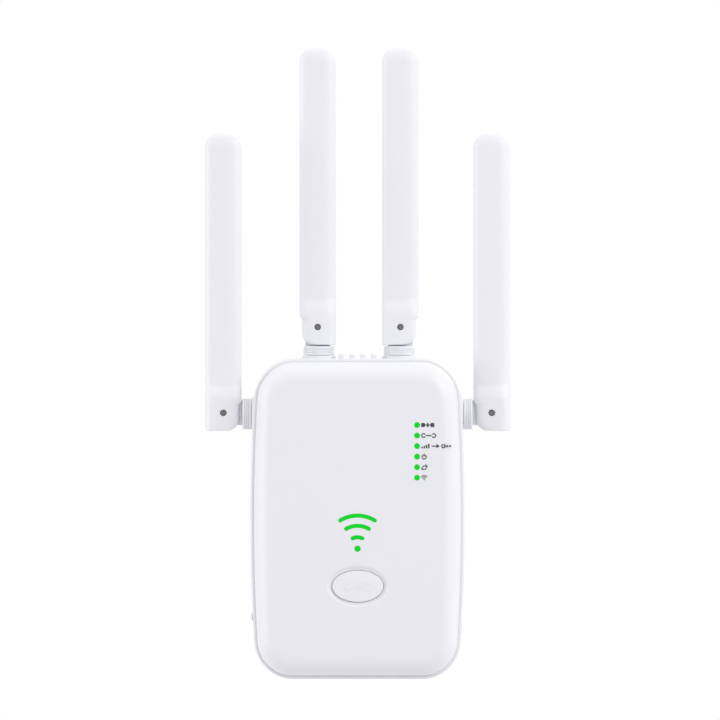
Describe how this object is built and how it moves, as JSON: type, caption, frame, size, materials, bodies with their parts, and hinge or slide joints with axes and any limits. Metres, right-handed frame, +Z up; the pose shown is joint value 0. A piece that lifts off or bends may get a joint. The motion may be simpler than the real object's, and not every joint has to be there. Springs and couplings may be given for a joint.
{
  "type": "wifi range extender",
  "caption": "Plug-in wireless repeater with folding, swivelling paddle antennas, a front button with status lights, network jacks underneath and a plug at the back.",
  "frame": {"origin": "centre of the plug's wall face, midway between the two blades", "axes": "+Z up, +Y into the wall, the front faces -Y"},
  "size_m": [0.1016, 0.0538, 0.2101],
  "materials": {
    "cover_white": "semi-gloss, finely moulded",
    "shell_white": "satin",
    "antenna_white": "satin",
    "button_white": "semi-gloss",
    "light_green": "lit translucent",
    "pin_steel": "plain steel",
    "blade_metal": "nickel plated",
    "board_green": "solder mask",
    "tinned_steel": "tinned",
    "part_black": "moulded black",
    "slider_grey": "moulded grey",
    "copper": "bare copper strip",
    "lead_grey": "coaxial lead jacket"
  },
  "bodies": {
    "housing": {"front_cover": "cover_white", "rear_shell": "shell_white", "plug_carrier": "shell_white", "plug_blade_left": "blade_metal", "plug_blade_right": "blade_metal", "wps_switch": "part_black", "mode_switch": "tinned_steel", "signal_light_guide": "light_green", "status_light_guide": "light_green", "signal_led": "light_green", "status_led_1": "light_green", "status_led_2": "light_green", "status_led_3": "light_green", "status_led_4": "light_green", "status_led_5": "light_green", "status_led_6": "light_green", "main_board": "board_green", "radio_shield": "tinned_steel", "processor": "part_black", "memory_chip": "part_black", "network_transformer": "part_black", "lan_jack": "part_black", "wan_jack": "part_black", "power_board": "board_green", "power_transformer": "part_black", "mains_capacitor": "part_black", "output_capacitor": "part_black", "fuse": "tinned_steel", "housing_screw_1": "pin_steel", "housing_screw_2": "pin_steel", "housing_screw_3": "pin_steel", "housing_screw_4": "pin_steel", "top_left_lead": "lead_grey", "top_right_lead": "lead_grey", "side_left_lead": "lead_grey", "side_right_lead": "lead_grey"},
    "button": {"wps_button": "button_white", "wps_plunger": "slider_grey"},
    "slider": {"mode_slider": "slider_grey"},
    "top_left_knuckle": {"top_left_barrel": "antenna_white"},
    "top_left_paddle": {"top_left_antenna": "antenna_white", "top_left_pin": "pin_steel", "top_left_radiator": "copper"},
    "top_right_knuckle": {"top_right_barrel": "antenna_white"},
    "top_right_paddle": {"top_right_antenna": "antenna_white", "top_right_pin": "pin_steel", "top_right_radiator": "copper"},
    "side_left_knuckle": {"side_left_barrel": "antenna_white"},
    "side_left_paddle": {"side_left_antenna": "antenna_white", "side_left_pin": "pin_steel", "side_left_radiator": "copper"},
    "side_right_knuckle": {"side_right_barrel": "antenna_white"},
    "side_right_paddle": {"side_right_antenna": "antenna_white", "side_right_pin": "pin_steel", "side_right_radiator": "copper"}
  },
  "joints": [
    {"name": "button_press", "type": "slide", "parent": "housing", "child": "button", "axis": [0, 1, 0], "range_m": [0, 0.0005], "stiffness_N_per_m": 500},
    {"name": "mode_slide", "type": "slide", "parent": "housing", "child": "slider", "axis": [0, 0, 1], "range_m": [-0.0015, 0.0015]},
    {"name": "top_left_swivel", "type": "hinge", "parent": "housing", "child": "top_left_knuckle", "pos_m": [-0.0129, -0.013, 0.0463], "axis": [0, 0, 1], "range_deg": [-90, 90]},
    {"name": "top_left_fold", "type": "hinge", "parent": "top_left_knuckle", "child": "top_left_paddle", "pos_m": [-0.0133, -0.013, 0.0558], "axis": [0, 1, 0], "range_deg": [-90, 0]},
    {"name": "top_right_swivel", "type": "hinge", "parent": "housing", "child": "top_right_knuckle", "pos_m": [0.0139, -0.013, 0.0463], "axis": [0, 0, 1], "range_deg": [-90, 90]},
    {"name": "top_right_fold", "type": "hinge", "parent": "top_right_knuckle", "child": "top_right_paddle", "pos_m": [0.0143, -0.013, 0.0558], "axis": [0, 1, 0], "range_deg": [0, 90]},
    {"name": "side_left_swivel", "type": "hinge", "parent": "housing", "child": "side_left_knuckle", "pos_m": [-0.0352, -0.021, 0.0268], "axis": [1, 0, 0], "range_deg": [-90, 90]},
    {"name": "side_left_fold", "type": "hinge", "parent": "side_left_knuckle", "child": "side_left_paddle", "pos_m": [-0.0447, -0.021, 0.0272], "axis": [0, 1, 0], "range_deg": [-90, 0]},
    {"name": "side_right_swivel", "type": "hinge", "parent": "housing", "child": "side_right_knuckle", "pos_m": [0.0352, -0.021, 0.0268], "axis": [1, 0, 0], "range_deg": [-90, 90]},
    {"name": "side_right_fold", "type": "hinge", "parent": "side_right_knuckle", "child": "side_right_paddle", "pos_m": [0.0447, -0.021, 0.0272], "axis": [0, 1, 0], "range_deg": [0, 90]}
  ]
}
